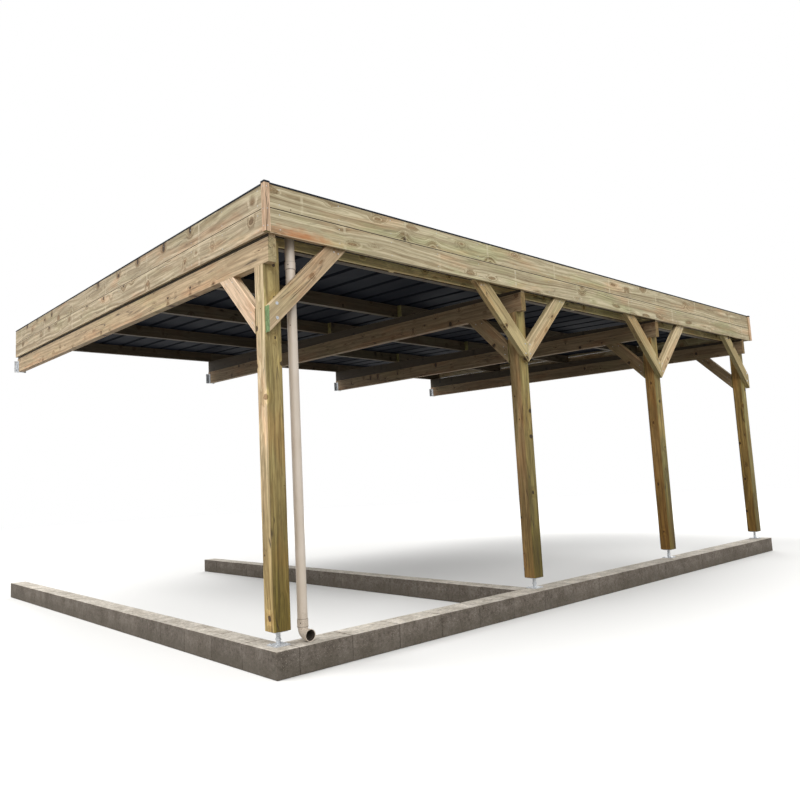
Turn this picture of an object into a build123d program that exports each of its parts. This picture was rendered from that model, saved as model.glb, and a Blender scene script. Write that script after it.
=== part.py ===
from build123d import *
import os
from math import atan2, cos, radians, sin, tan

# Lean-to carport: timber posts, beams and lapped purlins on a concrete kerb, under a ribbed steel roof.
# +X runs from the house wall to the lawn, +Y from the front to the back, and +Z up.
# The kerbs' underside is at z = 0, and the origin is the middle of the whole outline on that level.

os.makedirs("parts", exist_ok=True)

# Driving dimensions, in mm

# The bay grid
span = 7080                     # wall plane to the posts' lawn face
bays = (3150, 2890, 2780)       # from one post's front face to the next one's
head_height = 2947              # top of the kerb to the beams' underside, at the posts' lawn face
roof_fall = 184                 # drop of the roof over the span, toward the lawn

# Kerbs of precast blocks
kerb_height = 200
kerb_width = 200
side_kerb_width = 260
kerb_side_margin = 120          # kerb past the posts, on the lawn side
kerb_front_margin = 66          # kerb past the posts, at the front and at the back
kerb_block = 500
kerb_joint_width = 5
kerb_joint_depth = 4
kerb_chamfer = 5
cross_kerb_set_back = 50        # from the second post's front face to the kerb's centre line

# Posts and their anchors
post_width = 150
post_chamfer = 12
post_lift = 110
anchor_plate = 130
anchor_head = 110
anchor_thickness = 8
anchor_stem_r = 16
anchor_hole_r = 6
anchor_hole_inset = 20

# Beams and their wall hangers
beam_thickness = 75
beam_depth = 200
beam_overhang = 75
beam_end_gap = 3
hanger_thickness = 3
hanger_seat = 80
hanger_height = 170
hanger_flange = 40
hanger_hole_r = 5.5
hanger_hole_spacing = 100

# Braces
brace_depth = 150
beam_brace_angle = 45
beam_brace_drop = 542           # post corner to the lower tip, below the beam's underside
side_brace_thickness = 63
side_brace_angle = 45
side_brace_reach = 795          # along the rim, from the foot to the lower edge

# Firrings on the beams, purlins and rim
firring_width = 63
firring_toe = 35                # firring's height at the posts' lawn face
firring_rise = 160              # how much it grows over the span, toward the wall
purlin_width = 75
purlin_depth = 150
edge_purlin_set_back = 257      # from the posts' lawn face to the edge purlin
purlin_pitches = (1550, 1500, 1750)
purlin_lap = 20                 # how far a length starts before its beam
purlin_tail = 100               # how far a length runs on past its beam
lap_gap = 0.3
butt_gap = 1
rim_width = 45
back_overhang = 90              # purlins past the last post
gutter_board_set_back = 200     # from the posts' lawn face to the board behind the gutter
gutter_board_thickness = 27
spacer_width = 60               # blocks between that board and the edge purlin

# Roof sheets
sheet_count = 9
ribs_per_sheet = 3
rib_height = 39
rib_base = 70
rib_crest = 30
sheet_thickness = 2
sheet_gap = 1
sheet_end_gap = 5
gutter_overlap = 50             # sheets past the gutter's inner side

# Fascia, upstand and cap
board_thickness = 27
board_width = 202
board_gap = 5
fascia_lift = 25                # fascia's lower edge above the beams' top
trim_thickness = 22
trim_width = 48
upstand_thickness = 45
cap_thickness = 2
cap_lip = 12
cap_gap = 0.5                   # between the cap's lips and the boards

# Gutter and downpipe
gutter_width = 180
gutter_depth = 80
gutter_wall = 2
gutter_lift = 103               # gutter's underside above the beams' top
gutter_end_gap = 5
pipe_r = 40
pipe_wall = 3
pipe_y = 290                    # from the front of the first post
pipe_fit = 0.3
outlet_flange_r = 50
socket_wall = 3.5
socket_length = 60
upper_socket_drop = 294         # gutter's underside to the upper socket's lower end
shoe_height = 103               # shoe's shoulder above the kerb
shoe_bend_r = 52
shoe_mouth = 50                 # from the end of the bend to the mouth
shoe_collar_r = 47
shoe_collar_wall = 4.5
shoe_collar_length = 28
shoe_lift = 2

# Worked-out places
slope = roof_fall / span
deck_slope = (roof_fall + firring_rise) / span
fascia_height = 2 * board_width + board_gap
cap_side = cap_gap + cap_thickness
overall_x = span + beam_overhang + board_thickness + trim_thickness + cap_side
frame_length = sum(bays) + post_width + back_overhang
overall_y = kerb_front_margin + frame_length + board_thickness + trim_thickness + cap_side
x_wall = -overall_x / 2
x_post = x_wall + span
x_rim = x_post + beam_overhang - rim_width
x_rim_face = x_post + beam_overhang
x_edge_purlin = x_post - edge_purlin_set_back
x_side_face = x_rim_face + board_thickness
x_kerb = x_post + kerb_side_margin
x_side_kerb = x_kerb - side_kerb_width
y_front = kerb_front_margin - overall_y / 2
y_back = y_front + frame_length
y_posts = [y_front + sum(bays[:number]) for number in range(len(bays) + 1)]
y_kerb_end = y_posts[-1] + post_width + kerb_front_margin
post_foot = kerb_height + post_lift
well_above = kerb_height + head_height + beam_depth + 2 * (roof_fall + firring_rise)


def beam_under(x):
    """Underside of the beams."""
    return kerb_height + head_height + (x_post - x) * slope


def beam_top(x):
    """Top of the beams."""
    return beam_under(x) + beam_depth


def firring_top(x):
    """Top of the firrings, which carry the purlins and the rim."""
    return kerb_height + head_height + beam_depth + firring_toe + (x_post - x) * deck_slope


def purlin_top(x):
    """Top of the purlins and the rim."""
    return firring_top(x) + purlin_depth


def fascia_under(x):
    """Lower edge of the fascia."""
    return beam_top(x) + fascia_lift


def fascia_top(x):
    """Upper edge of the fascia, under the cap."""
    return fascia_under(x) + fascia_height


# Places of the gutter and the downpipe
x_gutter = x_rim - gutter_width
x_pipe = x_rim - gutter_width / 2
y_pipe = y_front + pipe_y
z_gutter = beam_top(x_rim) + gutter_lift
pipe_bore_r = pipe_r - pipe_wall
socket_r = pipe_r + pipe_fit + socket_wall
z_shoe = kerb_height + shoe_height


def save(piece, label):
    """Name a finished piece and write it."""
    piece.part.label = label
    export_step(piece.part, f"parts/{label}.step")


def band(lower, upper, x_start, x_end, y_start, y_end, mode=Mode.ADD):
    """Everything between two sloping lines, with plumb ends and sides."""
    with BuildSketch(Plane.XZ.offset(-y_end)) as outline:
        with BuildLine():
            Polyline(
                (x_start, lower(x_start)),
                (x_end, lower(x_end)),
                (x_end, upper(x_end)),
                (x_start, upper(x_start)),
                close=True,
            )
        make_face()
    extrude(outline.sketch, amount=y_end - y_start, mode=mode)


def cut_above(line, x_start, x_end, y_start, y_end):
    """Take away what stands above a sloping line."""
    band(line, lambda x: well_above, x_start, x_end, y_start, y_end, mode=Mode.SUBTRACT)


def run_with_slope(x_start, x_end, fall=slope):
    """Extrude the waiting profile from one x to another, falling toward the lawn."""
    along = Vector(x_end - x_start, 0, (x_start - x_end) * fall)
    extrude(amount=along.length, dir=along)


def roof_plane(x, y, z):
    """A plane that lies with the roof."""
    return Plane(origin=(x, y, z), x_dir=(1, 0, -slope), z_dir=(slope, 0, 1))


# Kerbs


def kerb_joints(x_size, y_size, z_size, places):
    """Cut one face's share of the joints between the kerb's blocks."""
    with Locations(*places):
        Box(x_size, y_size, z_size, mode=Mode.SUBTRACT)


def kerb_across(label, y_start, x_start, x_end):
    """A kerb that runs along X, its blocks set out from its lawn end."""
    count = int((x_end - x_start - kerb_joint_width) / kerb_block)
    joints = [x_end - kerb_block * (number + 1) for number in range(count)]
    y_end = y_start + kerb_width
    with BuildPart() as kerb:
        with BuildSketch():
            with Locations((x_start, y_start)):
                Rectangle(x_end - x_start, kerb_width, align=(Align.MIN, Align.MIN))
        extrude(amount=kerb_height)
        chamfer(kerb.faces().sort_by(Axis.Z)[-1].edges().filter_by(Axis.X), kerb_chamfer)
        top = [(x, (y_start + y_end) / 2, kerb_height) for x in joints]
        sides = [(x, y, kerb_height / 2) for x in joints for y in (y_start, y_end)]
        kerb_joints(kerb_joint_width, 2 * kerb_width, 2 * kerb_joint_depth, top)
        kerb_joints(kerb_joint_width, 2 * kerb_joint_depth, 2 * kerb_height, sides)
    save(kerb, label)


def side_kerb():
    """The kerb under the row of posts, its blocks set out from the front kerb."""
    y_start = y_front - kerb_front_margin + kerb_width
    count = int((y_kerb_end - y_start - kerb_joint_width) / kerb_block)
    joints = [y_start + kerb_block * (number + 1) for number in range(count)]
    with BuildPart() as kerb:
        with BuildSketch():
            with Locations((x_side_kerb, y_start)):
                Rectangle(side_kerb_width, y_kerb_end - y_start, align=(Align.MIN, Align.MIN))
        extrude(amount=kerb_height)
        chamfer(kerb.faces().sort_by(Axis.Z)[-1].edges().filter_by(Axis.Y), kerb_chamfer)
        top = [((x_side_kerb + x_kerb) / 2, y, kerb_height) for y in joints]
        sides = [(x, y, kerb_height / 2) for y in joints for x in (x_side_kerb, x_kerb)]
        kerb_joints(2 * side_kerb_width, kerb_joint_width, 2 * kerb_joint_depth, top)
        kerb_joints(2 * kerb_joint_depth, kerb_joint_width, 2 * kerb_height, sides)
    save(kerb, "side_kerb")


# Posts, anchors, beams and hangers


def anchor(number, y):
    """A galvanised anchor: a bolted base plate, a round stem and a head plate under the post."""
    x_middle = x_post - post_width / 2
    y_middle = y + post_width / 2
    with BuildPart() as foot:
        with BuildSketch(Plane.XY.offset(kerb_height)):
            with Locations((x_middle, y_middle)):
                Rectangle(anchor_plate, anchor_plate)
                spacing = anchor_plate - 2 * anchor_hole_inset
                with GridLocations(spacing, spacing, 2, 2):
                    Circle(anchor_hole_r, mode=Mode.SUBTRACT)
        extrude(amount=anchor_thickness)
        with BuildSketch(Plane.XY.offset(kerb_height)):
            with Locations((x_middle, y_middle)):
                Circle(anchor_stem_r)
        extrude(amount=post_lift)
        with BuildSketch(Plane.XY.offset(post_foot)):
            with Locations((x_middle, y_middle)):
                Rectangle(anchor_head, anchor_head)
        extrude(amount=-anchor_thickness)
    save(foot, f"post_anchor_{number}")


def post(number, y):
    """A post with chamfered arrises, its top notched so that the beam sits on its front half."""
    with BuildPart() as stick:
        with BuildSketch(Plane.XY.offset(post_foot)) as outline:
            with Locations((x_post - post_width / 2, y + post_width / 2)):
                Rectangle(post_width, post_width)
            chamfer(outline.vertices(), post_chamfer)
        extrude(amount=well_above - post_foot)
        cut_above(beam_top, x_post - post_width, x_post, y, y + post_width)
        cut_above(beam_under, x_post - post_width, x_post, y, y + beam_thickness)
    save(stick, f"post_{number}")


def beam(number, y):
    """A beam from the wall to just past its post."""
    with BuildPart() as timber:
        band(beam_under, beam_top, x_wall + beam_end_gap, x_rim_face, y, y + beam_thickness)
    save(timber, f"beam_{number}")


def firring(number, y):
    """The tapered timber on a beam, which makes the deck steeper than the beams."""
    margin = (beam_thickness - firring_width) / 2
    with BuildPart() as timber:
        band(beam_top, firring_top, x_wall + beam_end_gap, x_rim_face, y + margin, y + beam_thickness - margin)
    save(timber, f"firring_{number}")


def wall_hanger(number, y):
    """A folded hanger: a seat and two cheeks round the beam's end, and two flanges on the wall."""
    seat = beam_under(x_wall)
    y_middle = y + beam_thickness / 2
    outer_width = beam_thickness + 2 * hanger_thickness
    with BuildPart() as hanger:
        with BuildSketch(Plane.YZ.offset(x_wall)):
            with Locations((y_middle, seat - hanger_thickness)):
                Rectangle(outer_width, hanger_height, align=(Align.CENTER, Align.MIN))
            with Locations((y_middle, seat)):
                Rectangle(beam_thickness, hanger_height, align=(Align.CENTER, Align.MIN), mode=Mode.SUBTRACT)
        run_with_slope(x_wall, x_wall + hanger_seat)
        with BuildSketch(Plane.YZ.offset(x_wall)):
            with Locations((y_middle, seat - hanger_thickness)):
                Rectangle(outer_width + 2 * hanger_flange, hanger_height, align=(Align.CENTER, Align.MIN))
                Rectangle(outer_width, hanger_height, align=(Align.CENTER, Align.MIN), mode=Mode.SUBTRACT)
            with Locations((y_middle, seat - hanger_thickness + hanger_height / 2)):
                with GridLocations(outer_width + hanger_flange, hanger_hole_spacing, 2, 2):
                    Circle(hanger_hole_r, mode=Mode.SUBTRACT)
        extrude(amount=hanger_thickness)
    save(hanger, f"wall_hanger_{number}")


# Braces


def beam_brace(number, y):
    """A brace from the post's house face up to the beam's underside, in the beam's own plane."""
    x_foot = x_post - post_width
    rise = tan(radians(beam_brace_angle))
    z_tip = kerb_height + head_height - beam_brace_drop
    z_shoulder = z_tip + brace_depth / cos(radians(beam_brace_angle))

    def reach(z_foot):
        """Where an edge that starts at the post meets the beam."""
        x = x_foot - (beam_under(x_foot) - z_foot) / (rise - slope)
        return (x, beam_under(x))

    with BuildPart() as brace:
        with BuildSketch(Plane.XZ.offset(-y - beam_thickness)):
            with BuildLine():
                Polyline((x_foot, z_tip), (x_foot, z_shoulder), reach(z_shoulder), reach(z_tip), close=True)
            make_face()
        extrude(amount=beam_thickness)
    save(brace, f"beam_brace_{number}")


def side_brace(label, y_foot, toward):
    """A brace on the posts' lawn face, from its plumb foot to a top cut to the rim's underside."""
    rise = tan(radians(side_brace_angle))
    z_top = firring_top(x_post)
    z_tip = z_top - side_brace_reach * rise
    z_shoulder = z_tip + brace_depth / cos(radians(side_brace_angle))
    y_lower = y_foot + toward * side_brace_reach
    y_upper = y_lower - toward * brace_depth / sin(radians(side_brace_angle))
    with BuildPart() as brace:
        with BuildSketch(Plane.YZ.offset(x_post)):
            with BuildLine():
                Polyline((y_foot, z_tip), (y_foot, z_shoulder), (y_upper, z_top), (y_lower, z_top), close=True)
            make_face()
        extrude(amount=side_brace_thickness)
        cut_above(firring_top, x_post, x_post + side_brace_thickness, min(y_foot, y_lower), max(y_foot, y_lower))
    save(brace, label)


# Purlins and rim


def purlin_row(label, x_lawn):
    """A row of three lengths, each set askew so that the next one laps it on the lawn side."""
    starts = [y_front] + [y - purlin_lap for y in y_posts[1:-1]]
    ends = [y + beam_thickness + purlin_tail for y in y_posts[1:-1]] + [y_back]
    skew = (purlin_width + lap_gap) / min(after - before for before, after in zip(starts, starts[1:]))
    with BuildPart() as row:
        for y_start, y_end in zip(starts, ends):
            with BuildSketch(Plane.XZ.offset(-y_start)):
                with BuildLine():
                    Polyline(
                        (x_lawn, firring_top(x_lawn)),
                        (x_lawn - purlin_width, firring_top(x_lawn - purlin_width)),
                        (x_lawn - purlin_width, purlin_top(x_lawn - purlin_width)),
                        (x_lawn, purlin_top(x_lawn)),
                        close=True,
                    )
                make_face()
            drift = skew * (y_end - y_start)
            along = Vector(-drift, y_end - y_start, drift * deck_slope)
            extrude(amount=along.length, dir=along)
    save(row, label)


def straight_purlin(label, x_start):
    """A straight row of purlin lengths, butted over the middle beams."""
    joints = [y + beam_thickness / 2 for y in y_posts[1:-1]]
    with BuildPart() as row:
        for y_start, y_end in zip([y_front] + joints, joints + [y_back + butt_gap]):
            band(firring_top, purlin_top, x_start, x_start + purlin_width, y_start, y_end - butt_gap)
    save(row, label)


def rim_beam():
    """The rim on the beams' ends, which carries the side fascia and the gutter."""
    with BuildPart() as rim:
        band(firring_top, purlin_top, x_rim, x_rim_face, y_front, y_back)
    save(rim, "rim_beam")


def gutter_board():
    """The board behind the gutter, with a spacer to the edge purlin in the middle of each bay."""
    x_face = x_post - gutter_board_set_back
    x_back = x_face - gutter_board_thickness
    with BuildPart() as board:
        band(firring_top, purlin_top, x_back, x_face, y_front, y_back)
        for y, bay in zip(y_posts, bays):
            y_start = y + (bay - spacer_width) / 2
            band(firring_top, purlin_top, x_edge_purlin, x_back, y_start, y_start + spacer_width)
    save(board, "gutter_board")


# Roof sheets


def sheet_line(y_start, width, base, crest, z):
    """One face of a ribbed sheet, as the points of its section."""
    pitch = width / ribs_per_sheet
    points = [(y_start, z)]
    for rib in range(ribs_per_sheet):
        middle = y_start + (rib + 0.5) * pitch
        points.append((middle - base / 2, z))
        points.append((middle - crest / 2, z + rib_height))
        points.append((middle + crest / 2, z + rib_height))
        points.append((middle + base / 2, z))
    points.append((y_start + width, z))
    return points


def roof_sheets():
    """Ribbed sheets side by side, laid down the slope on the purlins."""
    x_start = x_wall + sheet_end_gap
    x_end = x_gutter + gutter_overlap
    y_start = y_front + upstand_thickness + sheet_end_gap
    y_end = y_back - upstand_thickness - sheet_end_gap
    cover = (y_end - y_start + sheet_gap) / sheet_count
    flank = atan2(rib_height, (rib_base - rib_crest) / 2)
    widening = 2 * sheet_thickness * tan(flank / 2)
    z = purlin_top(x_start)
    with BuildPart() as sheets:
        for number in range(sheet_count):
            y = y_start + number * cover
            lower = sheet_line(y, cover - sheet_gap, rib_base, rib_crest, z)
            upper = sheet_line(y, cover - sheet_gap, rib_base + widening, rib_crest + widening, z + sheet_thickness)
            with BuildSketch(Plane.YZ.offset(x_start)):
                with BuildLine():
                    Polyline(*lower, *reversed(upper), close=True)
                make_face()
            run_with_slope(x_start, x_end, deck_slope)
    save(sheets, "roof_sheets")


# Fascia, upstands, trims and caps


def fascia(label, x_start, x_end, y_start, y_end):
    """Two boards, one above the other."""
    with BuildPart() as boards:
        band(fascia_under, lambda x: fascia_under(x) + board_width, x_start, x_end, y_start, y_end)
        band(lambda x: fascia_top(x) - board_width, fascia_top, x_start, x_end, y_start, y_end)
    save(boards, label)


def upstand(label, x_start, x_end, y_start, y_end):
    """The backing that stands on the purlins or the rim and carries the upper board."""
    with BuildPart() as backing:
        band(purlin_top, fascia_top, x_start, x_end, y_start, y_end)
    save(backing, label)


def corner_trim(label, y_face, out):
    """An L-shaped trim that covers a corner of the fascia."""
    x_outer = x_side_face + trim_thickness
    y_board = y_face + out * board_thickness
    y_outer = y_board + out * trim_thickness
    with BuildPart() as trim:
        with BuildSketch(Plane.XY.offset(kerb_height)):
            with BuildLine():
                Polyline(
                    (x_outer, y_outer),
                    (x_outer - trim_width, y_outer),
                    (x_outer - trim_width, y_board),
                    (x_side_face, y_board),
                    (x_side_face, y_outer - out * trim_width),
                    (x_outer, y_outer - out * trim_width),
                    close=True,
                )
            make_face()
        extrude(amount=well_above - kerb_height)
        y_low = min(y_face, y_outer) - trim_width
        y_high = max(y_face, y_outer) + trim_width
        band(fascia_under, fascia_top, x_outer - trim_width, x_outer, y_low, y_high, mode=Mode.INTERSECT)
    save(trim, label)


def cap_across(label, y_face, out):
    """The folded cap over the front or the back fascia, from the wall to the corner cap."""
    x_end = x_rim_face - upstand_thickness - cap_side - butt_gap
    y_middle = y_face + out * (board_thickness - upstand_thickness) / 2
    covered = board_thickness + upstand_thickness + 2 * cap_gap
    with BuildPart() as cap:
        with BuildSketch(Plane.YZ.offset(x_wall)):
            with Locations((y_middle, fascia_top(x_wall) + cap_thickness)):
                Rectangle(covered + 2 * cap_thickness, cap_thickness + cap_lip, align=(Align.CENTER, Align.MAX))
            with Locations((y_middle, fascia_top(x_wall))):
                Rectangle(covered, cap_lip, align=(Align.CENTER, Align.MAX), mode=Mode.SUBTRACT)
        run_with_slope(x_wall, x_end)
    save(cap, label)


def lip_foot(x):
    """Lower edge of the caps' lips."""
    return fascia_top(x) - cap_lip


def cap_crown(x):
    """Top of the caps."""
    return fascia_top(x) + cap_thickness


def side_cap():
    """The folded cap over the side fascia, between the corner caps."""
    x_inner = x_rim_face - upstand_thickness
    y_start = y_front + upstand_thickness + cap_side + butt_gap
    y_end = y_back - upstand_thickness - cap_side - butt_gap
    with BuildPart() as cap:
        band(lip_foot, cap_crown, x_inner - cap_side, x_side_face + cap_side, y_start, y_end)
        band(lip_foot, fascia_top, x_inner - cap_gap, x_side_face + cap_gap, y_start, y_end, mode=Mode.SUBTRACT)
    save(cap, "side_cap")


def corner_edge(y_face, out, margin, x_end, y_end):
    """The outer edge of a corner cap, margin outside the boards and the trim, between its two ends."""
    x_outer = x_side_face + trim_thickness
    y_board = y_face + out * board_thickness
    y_outer = y_board + out * trim_thickness
    x_leg = x_outer - trim_width - margin
    y_leg = y_outer - out * (trim_width + margin)
    return [
        (x_end, y_board + out * margin),
        (x_leg, y_board + out * margin),
        (x_leg, y_outer + out * margin),
        (x_outer + margin, y_outer + out * margin),
        (x_outer + margin, y_leg),
        (x_side_face + margin, y_leg),
        (x_side_face + margin, y_end),
    ]


def corner_cap(label, y_face, out):
    """The folded cap over a corner, which steps out over the trim."""
    inner = upstand_thickness + cap_side
    x_end = x_rim_face - inner
    y_end = y_face - out * inner
    x_beyond = x_end - cap_side
    y_beyond = y_end - out * cap_side
    x_hollow = x_rim_face - upstand_thickness - cap_gap
    y_hollow = y_face - out * (upstand_thickness + cap_gap)
    outside = corner_edge(y_face, out, cap_side, x_end, y_end) + [(x_end, y_end)]
    hollow = corner_edge(y_face, out, cap_gap, x_beyond, y_beyond)
    hollow += [(x_hollow, y_beyond), (x_hollow, y_hollow), (x_beyond, y_hollow)]
    level = roof_plane(x_rim_face, 0, fascia_top(x_rim_face))
    with BuildPart() as cap:
        with BuildSketch(level.offset(cap_thickness)):
            with BuildLine():
                Polyline(*[(x - x_rim_face, y) for x, y in outside], close=True)
            make_face()
        extrude(amount=-cap_thickness - cap_lip)
        with BuildSketch(level):
            with BuildLine():
                Polyline(*[(x - x_rim_face, y) for x, y in hollow], close=True)
            make_face()
        extrude(amount=-2 * cap_lip, mode=Mode.SUBTRACT)
    save(cap, label)


# Gutter and downpipe


def gutter():
    """The box gutter behind the rim, with an outlet hole over the downpipe."""
    y_middle = (y_front + y_back) / 2
    length = y_back - y_front - 2 * gutter_end_gap
    with BuildPart() as channel:
        with BuildSketch(Plane.XY.offset(z_gutter)):
            with Locations((x_pipe, y_middle)):
                Rectangle(gutter_width, length)
        extrude(amount=gutter_depth)
        with BuildSketch(Plane.XY.offset(z_gutter + gutter_wall)):
            with Locations((x_pipe, y_middle)):
                Rectangle(gutter_width - 2 * gutter_wall, length - 2 * gutter_wall)
        extrude(amount=gutter_depth, mode=Mode.SUBTRACT)
        with BuildSketch(Plane.XY.offset(z_gutter)):
            with Locations((x_pipe, y_pipe)):
                Circle(pipe_r + pipe_fit)
        extrude(amount=gutter_wall, mode=Mode.SUBTRACT)
    save(channel, "gutter")


def downpipe():
    """The pipe from the gutter's outlet to the shoe, with the socket of its upper joint."""
    z_socket = z_gutter - upper_socket_drop
    with BuildPart() as pipe:
        with BuildSketch(Plane.XZ.offset(-y_pipe)):
            with BuildLine():
                Polyline(
                    (x_pipe + pipe_bore_r, z_shoe),
                    (x_pipe + pipe_r, z_shoe),
                    (x_pipe + pipe_r, z_socket),
                    (x_pipe + socket_r, z_socket),
                    (x_pipe + socket_r, z_socket + socket_length),
                    (x_pipe + pipe_r, z_socket + socket_length),
                    (x_pipe + pipe_r, z_gutter - pipe_wall),
                    (x_pipe + outlet_flange_r, z_gutter - pipe_wall),
                    (x_pipe + outlet_flange_r, z_gutter),
                    (x_pipe + pipe_r, z_gutter),
                    (x_pipe + pipe_r, z_gutter + gutter_wall),
                    (x_pipe + pipe_bore_r, z_gutter + gutter_wall),
                    close=True,
                )
            make_face()
        revolve(axis=Axis((x_pipe, y_pipe, 0), (0, 0, 1)))
    save(pipe, "downpipe")


def downpipe_shoe():
    """The shoe: a socket round the pipe's end, a bend toward the lawn and a wider collar at its mouth."""
    x_bend = x_pipe + shoe_bend_r
    x_mouth = x_bend + shoe_mouth
    z_mouth = kerb_height + shoe_lift + shoe_collar_r
    z_bend = z_mouth + shoe_bend_r
    with BuildPart() as shoe:
        with BuildSketch(Plane.XZ.offset(-y_pipe)):
            with BuildLine():
                Polyline(
                    (x_pipe + pipe_bore_r, z_bend),
                    (x_pipe + socket_r, z_bend),
                    (x_pipe + socket_r, z_shoe + socket_length),
                    (x_pipe + pipe_r + pipe_fit, z_shoe + socket_length),
                    (x_pipe + pipe_r + pipe_fit, z_shoe),
                    (x_pipe + pipe_bore_r, z_shoe),
                    close=True,
                )
            make_face()
        revolve(axis=Axis((x_pipe, y_pipe, 0), (0, 0, 1)))
        with BuildSketch(Plane.XY.offset(z_bend)):
            with Locations((x_pipe, y_pipe)):
                Circle(pipe_r)
                Circle(pipe_bore_r, mode=Mode.SUBTRACT)
        revolve(axis=Axis((x_bend, y_pipe, z_bend), (0, -1, 0)), revolution_arc=90)
        with BuildSketch(Plane.YZ.offset(x_bend)):
            with Locations((y_pipe, z_mouth)):
                Circle(pipe_r)
                Circle(pipe_bore_r, mode=Mode.SUBTRACT)
        extrude(amount=shoe_mouth - shoe_collar_length)
        with BuildSketch(Plane.YZ.offset(x_mouth)):
            with Locations((y_pipe, z_mouth)):
                Circle(shoe_collar_r)
                Circle(pipe_bore_r, mode=Mode.SUBTRACT)
        extrude(amount=-shoe_collar_length)
        with BuildSketch(Plane.YZ.offset(x_mouth)):
            with Locations((y_pipe, z_mouth)):
                Circle(shoe_collar_r - shoe_collar_wall)
        extrude(amount=shoe_collar_wall - shoe_collar_length, mode=Mode.SUBTRACT)
    save(shoe, "downpipe_shoe")


# The whole carport

y_kerb_front = y_front - kerb_front_margin
kerb_across("front_kerb", y_kerb_front, x_wall, x_kerb)
kerb_across("cross_kerb", y_posts[1] - cross_kerb_set_back - kerb_width / 2, x_wall, x_side_kerb)
side_kerb()

for number, y_post in enumerate(y_posts, start=1):
    anchor(number, y_post)
    post(number, y_post)
    beam(number, y_post)
    firring(number, y_post)
    wall_hanger(number, y_post)
    beam_brace(number, y_post)

side_brace("side_brace_1_back", y_posts[0], 1)
side_brace("side_brace_2_front", y_posts[1] + post_width / 2, -1)
side_brace("side_brace_2_back", y_posts[1] + post_width / 2, 1)
side_brace("side_brace_3_front", y_posts[2] + post_width / 2, -1)
side_brace("side_brace_3_back", y_posts[2] + post_width / 2, 1)
side_brace("side_brace_4_front", y_posts[3] + post_width, -1)

for row in range(1, len(purlin_pitches) + 1):
    purlin_row(f"purlin_{row}", x_edge_purlin - sum(purlin_pitches[:row]))
straight_purlin("edge_purlin", x_edge_purlin - purlin_width)
straight_purlin("wall_purlin", x_wall)
rim_beam()
gutter_board()
roof_sheets()

x_upstand = x_rim_face - upstand_thickness
fascia("front_fascia", x_wall, x_side_face, y_front - board_thickness, y_front)
fascia("back_fascia", x_wall, x_side_face, y_back, y_back + board_thickness)
fascia("side_fascia", x_rim_face, x_side_face, y_front, y_back)
upstand("front_upstand", x_wall, x_upstand, y_front, y_front + upstand_thickness)
upstand("back_upstand", x_wall, x_upstand, y_back - upstand_thickness, y_back)
upstand("side_upstand", x_upstand, x_rim_face, y_front, y_back)
corner_trim("corner_trim_front", y_front, -1)
corner_trim("corner_trim_back", y_back, 1)
cap_across("front_cap", y_front, -1)
cap_across("back_cap", y_back, 1)
side_cap()
corner_cap("corner_cap_front", y_front, -1)
corner_cap("corner_cap_back", y_back, 1)

gutter()
downpipe()
downpipe_shoe()
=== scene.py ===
"""A lean-to carport of treated pine on a kerb of concrete blocks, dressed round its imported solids."""
import math
import random

import bmesh
import bpy
from mathutils import Matrix, Vector

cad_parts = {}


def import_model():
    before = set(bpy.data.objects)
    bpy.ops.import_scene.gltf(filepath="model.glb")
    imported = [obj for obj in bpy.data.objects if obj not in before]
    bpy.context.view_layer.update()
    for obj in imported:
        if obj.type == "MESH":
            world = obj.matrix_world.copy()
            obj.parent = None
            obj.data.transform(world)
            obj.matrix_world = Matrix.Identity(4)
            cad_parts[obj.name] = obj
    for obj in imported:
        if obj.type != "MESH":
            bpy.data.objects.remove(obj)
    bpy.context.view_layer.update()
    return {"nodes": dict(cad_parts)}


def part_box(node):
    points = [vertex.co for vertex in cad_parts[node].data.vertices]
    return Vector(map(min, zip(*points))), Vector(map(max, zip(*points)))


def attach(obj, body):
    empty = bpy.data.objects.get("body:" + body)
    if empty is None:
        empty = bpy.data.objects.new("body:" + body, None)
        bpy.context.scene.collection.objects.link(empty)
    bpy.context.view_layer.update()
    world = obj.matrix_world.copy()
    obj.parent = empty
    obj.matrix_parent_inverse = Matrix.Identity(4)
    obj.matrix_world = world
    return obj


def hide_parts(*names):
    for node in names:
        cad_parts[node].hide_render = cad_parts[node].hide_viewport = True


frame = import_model()
nodes = frame["nodes"]

# Places taken from the frame, in metres
post_low, post_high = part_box("post_1")
x_post = post_high.x                    # the posts' outer face
y_front = post_low.y                    # the first post's front face
kerb_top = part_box("front_kerb")[1].z
board_low, board_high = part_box("side_fascia")
slope = 184 / 7080                      # rise of the beams and the fascias toward the wall
outward, to_back, upward = Vector((1, 0, 0)), Vector((0, 1, 0)), Vector((0, 0, 1))


# Shader building


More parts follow.
